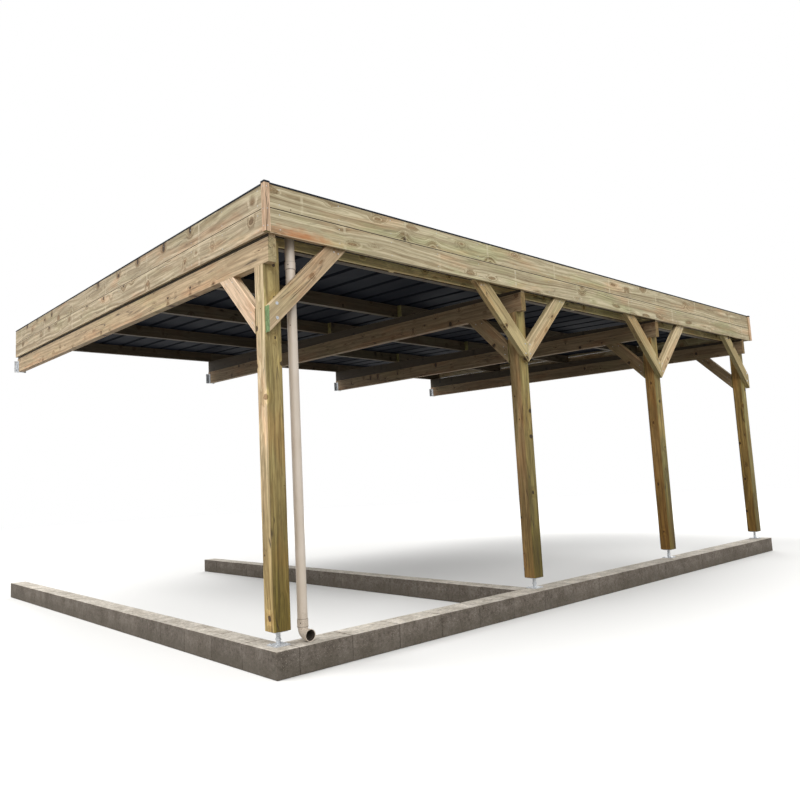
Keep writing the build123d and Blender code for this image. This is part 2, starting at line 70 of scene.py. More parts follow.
class Tree:
    """Short calls for building one material's nodes."""

    def __init__(self, name):
        self.material = bpy.data.materials.new(name)
        self.material.use_nodes = True
        self.nodes = self.material.node_tree.nodes
        self.links = self.material.node_tree.links
        self.shader = self.nodes["Principled BSDF"]

    def feed(self, socket, value):
        """Link a socket, or set its value."""
        if isinstance(value, bpy.types.NodeSocket):
            self.links.new(value, socket)
        else:
            socket.default_value = value

    def surface(self, **values):
        """Set or link the shader's own sockets."""
        for name, value in values.items():
            self.feed(self.shader.inputs[name.replace("_", " ")], value)

    def attribute(self, name, output):
        node = self.nodes.new("ShaderNodeAttribute")
        node.attribute_name = name
        return node.outputs[output]

    def place(self):
        """The point's own coordinates, in metres."""
        return self.nodes.new("ShaderNodeTexCoord").outputs["Object"]

    def normal(self):
        return self.nodes.new("ShaderNodeNewGeometry").outputs["Normal"]

    def math(self, operation, a, b=0.0, c=0.0, clamp=False):
        node = self.nodes.new("ShaderNodeMath")
        node.operation = operation
        node.use_clamp = clamp
        for socket, value in zip(node.inputs, (a, b, c)):
            self.feed(socket, value)
        return node.outputs[0]

    def times(self, a, b, clamp=False):
        return self.math("MULTIPLY", a, b, clamp=clamp)

    def plus(self, a, b):
        return self.math("ADD", a, b)

    def minus(self, a, b):
        return self.math("SUBTRACT", a, b)

    def inverse(self, a):
        """One less a value."""
        return self.math("SUBTRACT", 1.0, a)

    def vector(self, operation, a, b=(0.0, 0.0, 0.0), output=0):
        node = self.nodes.new("ShaderNodeVectorMath")
        node.operation = operation
        self.feed(node.inputs[0], a)
        self.feed(node.inputs[1], b)
        return node.outputs[output]

    def stretch(self, vector, factors):
        """A vector times three factors."""
        return self.vector("MULTIPLY", vector, factors)

    def split(self, vector):
        node = self.nodes.new("ShaderNodeSeparateXYZ")
        self.feed(node.inputs[0], vector)
        return node.outputs[0], node.outputs[1], node.outputs[2]

    def join(self, x, y, z):
        node = self.nodes.new("ShaderNodeCombineXYZ")
        for socket, value in zip(node.inputs, (x, y, z)):
            self.feed(socket, value)
        return node.outputs[0]

    def noise(self, vector, scale=1.0, detail=2.0, roughness=0.5, output="Fac"):
        node = self.nodes.new("ShaderNodeTexNoise")
        self.feed(node.inputs["Vector"], vector)
        for name, value in (("Scale", scale), ("Detail", detail), ("Roughness", roughness)):
            self.feed(node.inputs[name], value)
        return node.outputs[output]

    def voronoi(self, vector, scale=1.0, feature="F1", dimensions="3D", randomness=1.0):
        node = self.nodes.new("ShaderNodeTexVoronoi")
        node.voronoi_dimensions = dimensions
        node.feature = feature
        self.feed(node.inputs["Vector"], vector)
        self.feed(node.inputs["Scale"], scale)
        self.feed(node.inputs["Randomness"], randomness)
        return node

    def range(self, value, low, high, to_low=0.0, to_high=1.0):
        """Stretch a value smoothly from one range to another."""
        node = self.nodes.new("ShaderNodeMapRange")
        node.interpolation_type = "SMOOTHSTEP"
        for socket, number in zip(node.inputs, (value, low, high, to_low, to_high)):
            self.feed(socket, number)
        return node.outputs[0]

    def ramp(self, value, stops):
        node = self.nodes.new("ShaderNodeValToRGB")
        self.feed(node.inputs[0], value)
        points = node.color_ramp.elements
        while len(points) < len(stops):
            points.new(0.5)
        for point, (position, colour) in zip(points, stops):
            point.position = position
            point.color = (*colour, 1.0)
        return node.outputs[0]

    def mix(self, factor, a, b, blend="MIX"):
        node = self.nodes.new("ShaderNodeMix")
        node.data_type = "RGBA"
        node.blend_type = blend
        self.feed(node.inputs[0], factor)
        for socket, value in ((node.inputs[6], a), (node.inputs[7], b)):
            self.feed(socket, value if isinstance(value, bpy.types.NodeSocket) else (*value, 1.0))
        return node.outputs[2]

    def tint(self, colour, factors):
        """A colour times another one."""
        return self.mix(1.0, colour, factors, "MULTIPLY")

    def wash(self, factor, colour, factors):
        """A colour on its way to its own tint."""
        return self.mix(factor, colour, self.tint(colour, factors))

    def bump(self, height, strength, distance):
        node = self.nodes.new("ShaderNodeBump")
        self.feed(node.inputs["Height"], height)
        self.feed(node.inputs["Strength"], strength)
        self.feed(node.inputs["Distance"], distance)
        return node.outputs[0]


def linear(red, green, blue):
    """A colour given in 0 to 255 display values, as the shader needs it."""
    shares = (red / 255, green / 255, blue / 255)
    return tuple(c / 12.92 if c <= 0.04045 else ((c + 0.055) / 1.055) ** 2.4 for c in shares)


# Materials


def bend_grain(t, grain):
    """Grain coordinates in which the heart wanders along the piece and the rings waver a little."""
    middle = (0.5, 0.5, 0.5)
    wander = t.noise(t.stretch(grain, (0.8, 3.0, 3.0)), detail=1.0, output="Color")
    wander = t.stretch(t.vector("SUBTRACT", wander, middle), (0.0, 0.11, 0.11))
    waver = t.noise(t.stretch(grain, (5.0, 26.0, 26.0)), detail=2.0, output="Color")
    waver = t.stretch(t.vector("SUBTRACT", waver, middle), (0.0, 0.009, 0.009))
    return t.vector("ADD", t.vector("ADD", grain, wander), waver)


class Knots:
    """Knots on branches that leave the heart: cells along the piece and round the heart."""

    def __init__(self, t, grain, bent, free_share, loose_share, per_metre, largest, spread, swirl):
        along, across, through = t.split(bent)
        turn = t.math("ARCTAN2", through, across)
        unrolled = t.join(t.times(along, per_metre), t.times(turn, spread), 0.0)
        cells = t.voronoi(unrolled, dimensions="2D", randomness=0.72)
        chance, kind, _ = t.split(cells.outputs["Color"])
        ragged = t.noise(t.stretch(grain, (85.0, 85.0, 85.0)), detail=3.0, roughness=0.6)
        away = t.plus(cells.outputs["Distance"], t.times(t.minus(ragged, 0.5), 0.10))
        self.size = t.range(chance, free_share, 0.97, 0.0, largest)
        self.sound = t.range(kind, loose_share, loose_share + 0.1)
        self.share = t.math("DIVIDE", away, t.plus(self.size, 0.0001))
        self.inside = t.inverse(t.range(self.share, 0.70, 1.02))
        self.rim = t.range(self.share, 0.62, 0.90)
        self.near = t.times(t.inverse(t.range(away, 0.0, 0.34)), t.range(self.size, 0.0, 0.08, 0.0, swirl))
        self.halo = t.times(t.inverse(t.range(self.share, 0.9, 2.8)), t.range(self.size, 0.0, 0.04))


def late_wood(t, bent, knots, rings, flames, push):
    """How far a point is in late wood: narrow rings for close views, and groups that read from afar."""
    along, across, through = t.split(bent)
    radius = t.math("SQRT", t.plus(t.times(across, across), t.times(through, through)))
    radius = t.plus(radius, t.times(knots.near, push))
    ring = t.math("FRACT", t.times(radius, 170.0))
    ring = t.ramp(ring, ((0.0, (0.75,) * 3), (0.1, (0.05,) * 3), (0.55, (0.12,) * 3), (0.93, (1.0,) * 3)))
    group = t.noise(t.join(t.times(radius, 60.0), t.times(along, 0.1), 0.0), detail=2.0)
    group = t.range(group, 0.42, 0.58)
    flame = t.noise(t.join(t.times(radius, 21.0), t.times(along, 0.35), 0.0), detail=1.5)
    flame = t.times(t.range(flame, 0.44, 0.66), flames)
    late = t.plus(t.plus(t.times(ring, 0.28), t.times(group, 0.60)), flame)
    return t.times(late, t.math("MULTIPLY_ADD", knots.near, 0.9, rings), clamp=True)


def post_knots_and_foot(t, tone, knots, colour):
    """Pale wood round a post's knots, and a foot that grows darker towards the bottom, more on the sides than
    on the front.
    """
    pale = t.times(t.inverse(t.range(knots.share, 1.2, 3.4)), t.range(knots.size, 0.02, 0.06))
    colour = t.mix(t.times(pale, 0.45), colour, t.tint(tone, (1.35, 1.30, 1.15)))
    low = t.inverse(t.range(t.split(t.place())[2], kerb_top + 0.1, kerb_top + 1.9))
    sideways = t.math("ABSOLUTE", t.split(t.normal())[0])
    return t.wash(low, colour, t.mix(sideways, (0.66, 0.58, 0.39), (0.38, 0.34, 0.16)))


def specks(t, grain, patch, colour):
    """Small dark marks, more of them where the treatment took less."""
    cells = t.voronoi(t.stretch(grain, (34.0, 60.0, 60.0)))
    speck = t.inverse(t.range(cells.outputs["Distance"], 0.05, 0.16))
    speck = t.times(speck, t.range(t.split(cells.outputs["Color"])[2], 0.82, 0.9))
    speck = t.times(speck, t.range(patch, 0.42, 0.6))
    return t.wash(t.times(speck, 0.6), colour, (0.30, 0.22, 0.15))


def sticker_bands(t, grain, tone, cloud, bands, colour):
    """Pale worn bands where the stickers lay between the boards."""
    band = t.math("FRACT", t.times(t.split(grain)[0], 0.87))
    band = t.inverse(t.range(t.math("ABSOLUTE", t.minus(band, 0.5)), 0.006, 0.017))
    worn = t.times(band, t.range(cloud, 0.36, 0.62))
    return t.mix(t.times(worn, bands), colour, t.tint(tone, (1.24, 1.26, 1.28)))


def knot_wood(t, grain, tone, knots):
    """The knot itself: a brown core in a ring of bark, nearly black where it is loose, with fine splits."""
    core = t.mix(knots.sound, t.tint(tone, (0.10, 0.07, 0.05)), t.tint(tone, (0.62, 0.48, 0.36)))
    bark = t.mix(knots.sound, t.tint(tone, (0.04, 0.03, 0.02)), t.tint(tone, (0.26, 0.17, 0.11)))
    wood = t.mix(knots.rim, core, bark)
    split = t.voronoi(t.stretch(grain, (75.0, 75.0, 75.0)), feature="DISTANCE_TO_EDGE").outputs["Distance"]
    return t.mix(t.range(split, 0.0, 0.10, 0.7, 0.0), wood, t.tint(tone, (0.10, 0.06, 0.04)))


def resin_patch(t, cloud, late, colour):
    """The patch of resinous heartwood that one board shows by its end."""
    reach = t.vector("LENGTH", t.stretch(t.attribute("stain", "Vector"), (2.3, 13.0, 1.0)), output="Value")
    reach = t.plus(reach, t.times(t.minus(cloud, 0.5), 1.6))
    resin = t.inverse(t.range(reach, 0.0, 1.15))
    return t.mix(t.times(resin, 0.9), colour, t.mix(late, linear(186, 124, 76), linear(146, 84, 46)))


def dry_arrises(t, tone, cloud, colour):
    """Arrises dry out paler than the faces."""
    centred = t.vector("ABSOLUTE", t.attribute("centred", "Vector"))
    inset = t.split(t.vector("SUBTRACT", t.attribute("half", "Vector"), centred))
    arris = t.plus(t.plus(inset[1], inset[2]), t.times(t.minus(cloud, 0.5), 0.008))
    arris = t.inverse(t.range(arris, 0.002, 0.010))
    return t.mix(t.times(arris, 0.55), colour, t.tint(tone, (1.30, 1.28, 1.24)))


def pine(name, rings, checks, bands, flames, knot_free, loose_knots, streaks, green_share,
         knots_per_metre, knot_size, knots_round=0.36, posts=False):
    """Treated pine: growth rings round the piece's own heart, knots, drying checks, pale sticker bands."""
    t = Tree(name)
    grain = t.attribute("grain", "Vector")
    tone = t.attribute("tone", "Color")
    bent = bend_grain(t, grain)
    knots = Knots(t, grain, bent, knot_free, loose_knots, knots_per_metre, knot_size, knots_round,
                  swirl=0.7 if posts else 1.0)
    late = late_wood(t, bent, knots, rings, flames, push=0.03 if posts else 0.085)
    patch = t.noise(t.stretch(grain, (0.9, 5.0, 5.0)), detail=3.0, roughness=0.6)
    moved = t.stretch(t.vector("ADD", grain, (7.0, 3.0, 1.0)), (1.3, 6.0, 6.0))
    blush = t.noise(moved, detail=3.0, roughness=0.6)
    fine = t.noise(t.stretch(grain, (14.0, 420.0, 420.0)), detail=2.0)
    cloud = t.noise(t.stretch(grain, (9.0, 26.0, 26.0)), detail=4.0, roughness=0.65)

    # Pale early wood, browner late wood, and patches where the treatment took more or less
    colour = t.mix(late, t.tint(tone, (1.17, 1.17, 1.17)), t.tint(tone, (0.47, 0.39, 0.30)))
    colour = t.wash(t.range(patch, 0.50, 0.68, 0.0, green_share), colour, (0.80, 0.94, 0.74))
    colour = t.wash(t.range(blush, 0.50, 0.68, 0.0, 0.8), colour, (1.06, 0.88, 0.80))
    colour = t.wash(t.range(cloud, 0.52, 0.72, 0.0, 0.5), colour, (0.68, 0.64, 0.58))
    colour = t.wash(t.times(knots.halo, 0.40), colour, (0.74, 0.60, 0.46))
    if posts:
        colour = post_knots_and_foot(t, tone, knots, colour)

    # Streaks and fibres along the grain, specks, bands and knots on top
    streak = t.noise(t.stretch(bent, (1.3, 32.0, 32.0)), detail=4.0, roughness=0.72)
    light, dark = t.tint(colour, (1.20, 1.19, 1.15)), t.tint(colour, (0.42, 0.39, 0.30))
    colour = t.mix(streaks, colour, t.mix(t.range(streak, 0.38, 0.60), light, dark))
    colour = t.mix(t.range(fine, 0.42, 0.7, 0.0, 0.16), colour, (0.18, 0.12, 0.06))
    colour = specks(t, grain, patch, colour)
    colour = sticker_bands(t, grain, tone, cloud, bands, colour)
    colour = t.mix(knots.inside, colour, knot_wood(t, grain, tone, knots))
    colour = resin_patch(t, cloud, late, colour)

    # Drying checks run along the grain
    check = t.voronoi(t.stretch(bent, (1.1, 30.0, 30.0)), feature="DISTANCE_TO_EDGE").outputs["Distance"]
    where = t.range(t.noise(t.stretch(grain, (1.6, 11.0, 11.0)), detail=1.0), 0.54, 0.62)
    check = t.times(t.times(t.inverse(t.range(check, 0.0, 0.045)), where), checks)
    colour = t.mix(check, colour, (0.035, 0.022, 0.012))
    colour = dry_arrises(t, tone, cloud, colour)

    height = t.plus(t.times(late, -0.35), t.times(fine, 0.5))
    height = t.minus(height, t.times(check, 2.5))
    height = t.plus(height, t.times(knots.inside, 0.6))
    rough = t.plus(t.times(fine, 0.2), 0.58)
    t.surface(Base_Color=colour, Roughness=rough, Normal=t.bump(height, 0.5, 0.0008))
    t.surface(Specular_IOR_Level=0.3)
    return t.material


def galvanised():
    """Hot-dip zinc: soft spangle, dull sheen and a few grey stains."""
    t = Tree("galvanised steel")
    place = t.place()
    spangle = t.split(t.voronoi(place, scale=190.0).outputs["Color"])[0]
    cloud = t.noise(place, scale=14.0, detail=4.0)
    colour = t.mix(spangle, linear(172, 176, 180), linear(218, 220, 222))
    colour = t.mix(t.range(cloud, 0.5, 0.75, 0.0, 0.6), colour, linear(128, 131, 132))
    rough = t.plus(t.times(spangle, 0.14), 0.34)
    t.surface(Base_Color=colour, Roughness=rough, Normal=t.bump(cloud, 0.15, 0.001))
    t.surface(Metallic=0.6)
    return t.material


def coated_steel():
    """Anthracite coated sheet: matt, with dust and rain marks down the slope, and painted shade underneath.
    """
    t = Tree("dark coated steel")
    place = t.place()
    dust = t.noise(place, scale=2.2, detail=5.0, roughness=0.6)
    runs = t.noise(t.stretch(place, (0.8, 26.0, 26.0)), detail=3.0)
    grainy = t.noise(place, scale=900.0, detail=1.0)
    colour = t.mix(t.range(dust, 0.42, 0.75, 0.0, 0.5), linear(38, 43, 50), linear(54, 59, 65))
    colour = t.mix(t.range(runs, 0.5, 0.75, 0.0, 0.18), colour, linear(92, 94, 96))
    # Painted shade: faces that look down take a near-black colour
    painted_underside_shade = t.mix(t.range(dust, 0.42, 0.75), linear(17, 20, 27), linear(25, 28, 35))
    colour = t.mix(t.range(t.split(t.normal())[2], -0.3, 0.1), painted_underside_shade, colour)
    rough = t.plus(t.times(dust, 0.25), 0.55)
    t.surface(Base_Color=colour, Roughness=rough, Normal=t.bump(grainy, 0.2, 0.0002))
    t.surface(Specular_IOR_Level=0.04)
    return t.material


def shade_and_silt_finish():
    """Wet silt and dirt for a pipe's inside, also used as painted shadow for the dark lines at its joints."""
    t = Tree("silt")
    lumps = t.noise(t.place(), scale=240.0, detail=4.0, roughness=0.65)
    t.surface(Base_Color=t.mix(t.range(lumps, 0.35, 0.7), linear(34, 29, 24), linear(74, 62, 50)))
    t.surface(Roughness=0.9, Normal=t.bump(lumps, 0.5, 0.0008))
    return t.material


def foam_rubber():
    """Closed-cell foam: dark and matt, with fine pores."""
    t = Tree("foam")
    pores = t.voronoi(t.place(), scale=900.0).outputs["Distance"]
    colour = t.mix(t.range(pores, 0.1, 0.5), linear(22, 23, 25), linear(44, 46, 49))
    t.surface(Base_Color=colour, Roughness=0.95, Normal=t.bump(pores, 0.4, 0.0005))
    t.surface(Specular_IOR_Level=0.2)
    return t.material


def sand_plastic():
    """Rigid sand-coloured pipe: satin, faint die lines along it, and splashed dirt near the ground."""
    t = Tree("sand plastic")
    place = t.place()
    lines = t.noise(t.stretch(place, (260.0, 260.0, 1.2)), detail=2.0)
    cloud = t.noise(place, scale=5.0, detail=3.0)
    speck = t.noise(place, scale=170.0, detail=3.0)
    height = t.split(place)[2]
    low = t.inverse(t.range(height, kerb_top, kerb_top + 0.34))
    dirt = t.times(t.range(t.times(speck, cloud), 0.22, 0.36), low)
    colour = t.mix(t.range(cloud, 0.35, 0.7), linear(210, 197, 182), linear(202, 188, 171))
    colour = t.mix(t.range(lines, 0.45, 0.75, 0.0, 0.2), colour, linear(186, 170, 152))
    colour = t.mix(t.times(dirt, 0.7), colour, linear(120, 98, 70))
    rough = t.plus(t.times(cloud, 0.15), t.math("MULTIPLY_ADD", dirt, 0.3, 0.3))
    t.surface(Base_Color=colour, Roughness=rough, Normal=t.bump(lines, 0.1, 0.0003))
    return t.material


def concrete():
    """Pressed concrete block: pale skin, blotches, sand and pebbles, pores, damp at the foot."""
    t = Tree("concrete")
    place = t.place()
    tone = t.attribute("tone", "Color")
    cloud = t.noise(place, scale=5.5, detail=6.0, roughness=0.62)
    blotch = t.noise(place, scale=34.0, detail=4.0, roughness=0.7)
    sand = t.noise(place, scale=230.0, detail=3.0, roughness=0.7)
    streak = t.noise(t.stretch(place, (14.0, 14.0, 2.0)), detail=4.0)
    stones = t.voronoi(place, scale=130.0)
    pick = t.split(stones.outputs["Color"])[1]
    stone = t.inverse(t.range(stones.outputs["Distance"], 0.12, 0.42))
    stone = t.times(stone, t.range(pick, 0.6, 0.75))
    pores = t.voronoi(place, scale=75.0)
    pore = t.inverse(t.range(pores.outputs["Distance"], 0.06, 0.17))
    pore = t.times(pore, t.range(t.split(pores.outputs["Color"])[0], 0.62, 0.7))
    height = t.math("MULTIPLY_ADD", streak, -0.09, t.split(place)[2])
    damp = t.inverse(t.range(height, 0.0, 0.09))

    colour = t.mix(t.range(cloud, 0.3, 0.72), t.tint(tone, (0.60, 0.58, 0.55)), tone)
    colour = t.wash(t.range(blotch, 0.36, 0.5, 0.6, 0.0), colour, (0.50, 0.48, 0.46))
    colour = t.wash(t.range(blotch, 0.52, 0.66, 0.0, 0.6), colour, (1.5, 1.5, 1.5))
    colour = t.wash(t.range(sand, 0.4, 0.68, 0.0, 0.55), colour, (0.62, 0.6, 0.56))
    pebble = t.mix(pick, linear(120, 104, 84), linear(205, 196, 178))
    colour = t.mix(t.times(stone, 0.6), colour, pebble)
    colour = t.mix(t.range(streak, 0.52, 0.72, 0.0, 0.22), colour, t.tint(tone, (0.72, 0.70, 0.66)))
    colour = t.mix(t.times(damp, 0.5), colour, linear(88, 82, 71))
    colour = t.mix(pore, colour, linear(54, 52, 49))

    relief = t.minus(t.plus(t.times(sand, 0.8), t.times(stone, 0.5)), t.times(pore, 2.2))
    relief = t.plus(t.plus(relief, t.times(cloud, 0.8)), t.times(blotch, 2.0))
    t.surface(Base_Color=colour, Roughness=0.9, Normal=t.bump(relief, 0.7, 0.0018))
    t.surface(Specular_IOR_Level=0.25)
    return t.material


frame_pine = pine("treated pine, frame", rings=0.62, checks=0.8, bands=0.0, flames=0.10,
                  knot_free=0.25, loose_knots=0.55, streaks=0.40, green_share=0.35,
                  knots_per_metre=5.0, knot_size=0.125, knots_round=0.5)
board_pine = pine("treated pine, boards", rings=0.80, checks=0.35, bands=0.5, flames=0.40,
                  knot_free=0.20, loose_knots=0.15, streaks=0.35, green_share=0.55,
                  knots_per_metre=2.6, knot_size=0.110)
front_pine = pine("treated pine, front boards", rings=0.70, checks=0.5, bands=0.6, flames=0.45,
                  knot_free=0.15, loose_knots=0.50, streaks=0.50, green_share=0.25,
                  knots_per_metre=3.4, knot_size=0.110, knots_round=0.33)
beam_pine = pine("treated pine, front beam", rings=0.55, checks=0.8, bands=0.0, flames=0.20,
                 knot_free=0.15, loose_knots=0.70, streaks=0.40, green_share=0.35,
                 knots_per_metre=4.0, knot_size=0.095, knots_round=0.33)
post_pine = pine("treated pine, posts", rings=0.70, checks=0.8, bands=0.0, flames=0.10,
                 knot_free=0.05, loose_knots=0.8, streaks=0.70, green_share=0.3,
                 knots_per_metre=3.6, knot_size=0.095, posts=True)
shade_and_grime = shade_and_silt_finish()
foam = foam_rubber()
zinc = galvanised()
dark_steel = coated_steel()
plastic = sand_plastic()
block = concrete()


# Piece making


def finish_piece(mesh_bm, name, material, replaced=()):
    """Turn a bmesh into a piece that rides on the frame."""
    mesh = bpy.data.meshes.new(name)
    mesh_bm.to_mesh(mesh)
    mesh_bm.free()
    piece = bpy.data.objects.new(name, mesh)
    bpy.context.scene.collection.objects.link(piece)
    mesh.materials.append(material)
    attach(piece, "root")
    if replaced:
        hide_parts(*replaced)


def islands(bm):
    """The separate solids of a mesh, as sets of vertices, always in the same order."""
    found = []
    done = set()
    for first in bm.verts:
        if first in done:
            continue
        stack = [first]
        group = {first}
        while stack:
            for edge in stack.pop().link_edges:
                for vert in edge.verts:
                    if vert not in group:
                        group.add(vert)
                        stack.append(vert)
        done |= group
        found.append(group)
    return sorted(found, key=lambda group: min(tuple(round(c, 4) for c in v.co) for v in group))


def solids_of(node):
    """Clean copies of a node's solids, with one face for each flat side."""
    whole = bmesh.new()
    whole.from_mesh(nodes[node].data)
    bmesh.ops.remove_doubles(whole, verts=whole.verts, dist=0.00002)
    bmesh.ops.dissolve_limit(whole, angle_limit=math.radians(0.4), verts=whole.verts, edges=whole.edges)
    parts = []
    for group in islands(whole):
        part = bmesh.new()
        new = {v: part.verts.new(v.co) for v in whole.verts if v in group}
        for face in whole.faces:
            if face.verts[0] in group:
                part.faces.new([new[v] for v in face.verts])
        bmesh.ops.recalc_face_normals(part, faces=part.faces)
        parts.append(part)
    whole.free()
    return parts


def grain_axes(bm):
    """The direction of the piece's length, width and thickness."""
    longest = max(bm.edges, key=lambda e: e.calc_length())
    length = (longest.verts[1].co - longest.verts[0].co).normalized()
    if max(length, key=abs) < 0:
        length.negate()
    sides = [f for f in bm.faces if abs(f.normal.dot(length)) < 0.3]
    thickness = max(sides, key=lambda f: f.calc_area()).normal.copy()
    thickness = (thickness - length * thickness.dot(length)).normalized()
    return length, thickness.cross(length), thickness


def timber(node, tones, material, heart=None, stain=None, slot_shade=None):
    """Boards or posts from a node's solids: eased arrises, and coordinates that follow each piece's grain."""
    arris, unstained = 0.0028, (9.0, 9.0, 9.0)
    for number, bm in enumerate(solids_of(node), start=1):
        name = f"timber_{node}_{number}"
        draw = random.Random("pine " + name)
        axes = grain_axes(bm)
        middle = sum((v.co for v in bm.verts), Vector()) / len(bm.verts)
        low = [min((v.co - middle).dot(a) for v in bm.verts) for a in axes]
        high = [max((v.co - middle).dot(a) for v in bm.verts) for a in axes]
        width, depth = high[1] - low[1], high[2] - low[2]
        if heart is None:
            side = draw.choice((-1, 1))
            pith = (draw.uniform(-0.3, 0.3) * width, side * (depth * 0.5 + draw.uniform(0.012, 0.06)))
        else:
            pith = (draw.uniform(-1, 1) * heart, draw.uniform(-1, 1) * heart)
        start = draw.uniform(0, 40)
        shade = draw.uniform(0.93, 1.07)
        bmesh.ops.bevel(bm, geom=list(bm.edges), offset=arris, segments=2, profile=0.6, affect="EDGES")
        grain = bm.verts.layers.float_vector.new("grain")
        centred = bm.verts.layers.float_vector.new("centred")
        half = bm.verts.layers.float_vector.new("half")
        stained = bm.verts.layers.float_vector.new("stain")
        tone = bm.verts.layers.float_color.new("tone")
        for vert in bm.verts:
            from_middle = vert.co - middle
            u, v, w = (from_middle.dot(a) for a in axes)
            v, w = v - (low[1] + high[1]) / 2, w - (low[2] + high[2]) / 2
            vert[grain] = (u + start, v - pith[0], w - pith[1])
            vert[centred] = (u, v, w)
            vert[half] = (high[0], width / 2, depth / 2)
            if stain is not None and number == 1:
                off = vert.co - stain
                vert[stained] = (off.dot(axes[0]), off.dot(axes[1]), 0.0)
            else:
                vert[stained] = unstained
            flat = max(vert.link_faces, key=lambda f: f.calc_area())
            colour = tones(flat.normal, axes[0])
            # Painted shade in the slots between boards: the first board's top face and the others' undersides
            # take the slot colour
            if slot_shade and flat.normal.z * (1 if number == 1 else -1) > 0.9:
                colour = linear(*slot_shade)
            vert[tone] = (*(c * shade for c in colour), 1.0)
        for face in bm.faces:
            face.smooth = False
        finish_piece(bm, name, material, (node,))


# Timber


def is_purlin(node):
    return node.startswith("purlin") or node in ("edge_purlin", "wall_purlin")


def plain_tone(colour, end=(150, 143, 96)):
    """The same tone on every side, with another one on the cut ends."""
    side, cut = linear(*colour), linear(*end)
    return lambda normal, length: cut if abs(normal.dot(length)) > 0.6 else side


def post_tone(front, side):
    """One tone on the front and the back, another, greener and darker, on the sides."""
    end, front, side = linear(140, 136, 92), linear(*front), linear(*side)

    def tones(normal, length):
        if abs(normal.dot(length)) > 0.6:
            return end
        return front if abs(normal.y) > abs(normal.x) else side

    return tones


def painted_shade_face_tone(colour, out):
    """The same tone on every side, but a dark painted shade on the one that faces out, into the shade behind
    the boards.
    """
    side, dark = linear(*colour), linear(58, 50, 38)
    return lambda normal, length: dark if normal.dot(out) > 0.9 else side


def side_brace_tone(node):
    """Pinkish tan on the first brace, more olive on the others, with painted shade on the front braces at the
    middle posts and painted light on their back ones, and a green plumb foot.
    """
    if "1" in node:
        side = linear(197, 174, 143)
    elif "4" in node:
        side = linear(168, 153, 112)
    else:
        # Painted light and shade: back braces lighter, front braces darker, as the light falls on them
        side = linear(182, 166, 124) if node.endswith("front") else linear(210, 191, 154)
    foot = linear(122, 150, 104)
    return lambda normal, length: foot if abs(normal.y) > 0.95 else side


post_tones = (
    post_tone((236, 214, 180), (176, 160, 110)),
    post_tone((170, 146, 106), (146, 134, 86)),
    post_tone((174, 138, 84), (146, 134, 86)),
    post_tone((166, 136, 80), (146, 134, 86)),
)
for number, tones in enumerate(post_tones, start=1):
    timber(f"post_{number}", tones, post_pine, heart=0.022)
    if number == 1:
        timber("beam_1", plain_tone((194, 171, 139), (168, 154, 118)), beam_pine)
        timber("beam_brace_1", plain_tone((240, 214, 186)), frame_pine)
    else:
        # Painted shade: the beams and beam braces under the roof take darker tones than the front ones
        timber(f"beam_{number}", plain_tone((150, 129, 103), (126, 106, 68)), frame_pine)
        timber(f"beam_brace_{number}", plain_tone((154, 132, 102)), frame_pine)
    # Painted shade on each firring's front face
    timber(f"firring_{number}", painted_shade_face_tone((168, 147, 118), -to_back), frame_pine)
for node in sorted(nodes):
    if node.startswith("side_brace"):
        timber(node, side_brace_tone(node), frame_pine)
    if is_purlin(node):
        # Painted shade: the purlins take a dark tone for the shade up under the deck
        timber(node, plain_tone((90, 81, 67)), frame_pine)
timber("rim_beam", plain_tone((170, 150, 116)), frame_pine)
# Painted light: the gutter board takes a pale tone for the light thrown up from the ground
timber("gutter_board", plain_tone((236, 218, 164)), frame_pine)
resin_place = Vector((board_high.x, board_low.y + 0.29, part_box("front_fascia")[0].z + 0.024))
# Colour of the painted shade in the slots between the fascia boards
painted_slot_shade = (66, 54, 40)
timber("front_fascia", plain_tone((194, 179, 153)), front_pine, slot_shade=painted_slot_shade)
timber("side_fascia", plain_tone((194, 183, 154)), board_pine, stain=resin_place, slot_shade=painted_slot_shade)
timber("back_fascia", plain_tone((184, 172, 146)), board_pine, slot_shade=painted_slot_shade)
for side, out in (("front", -to_back), ("side", outward), ("back", to_back)):
    # Painted shade on each upstand's outer face, behind the fascia boards
    timber(f"{side}_upstand", painted_shade_face_tone((160, 148, 118), out), frame_pine)
for side in ("front", "back"):
    timber(f"corner_trim_{side}", plain_tone((208, 178, 150)), frame_pine)


# Steel and plastic that keep their solids


def dress(node, material):
    """Give a node that keeps its own shape a finish."""
    mesh = nodes[node].data
    mesh.materials.clear()
    mesh.materials.append(material)


for node in nodes:
    if node.startswith("post_anchor") or node.startswith("wall_hanger"):
        dress(node, zinc)
    if node == "roof_sheets" or "cap" in node or node == "gutter":
        dress(node, dark_steel)
    if node.startswith("downpipe"):
        dress(node, plastic)


# Screws, bolts and other small steel


def skin(bm, rings, closed=False):
    """Faces between neighbouring rings of vertices."""
    for before, after in zip(rings, rings[1:] + rings[:1] if closed else rings[1:]):
        for step in range(len(before)):
            beside = (step + 1) % len(before)
            bm.faces.new((before[step], before[beside], after[beside], after[step]))


def add_box(bm, size, centre):
    """Add a box and return its vertices."""
    made = bmesh.ops.create_cube(bm, size=1.0)["verts"]
    for vert in made:
        vert.co = vert.co * size + centre
    return made


def turned(bm, profile, segments, at, axis):
    """Add a closed solid of revolution, from radii and heights along an axis."""
    axis = axis.normalized()
    side = axis.orthogonal().normalized()
    other = axis.cross(side)
    angles = [math.tau * step / segments for step in range(segments)]
    spokes = [side * math.cos(angle) + other * math.sin(angle) for angle in angles]
    rings = []
    for radius, height in profile:
        rings.append([bm.verts.new(at + axis * height + spoke * radius) for spoke in spokes])
    skin(bm, rings)
    bm.faces.new(list(reversed(rings[0])))
    bm.faces.new(rings[-1])


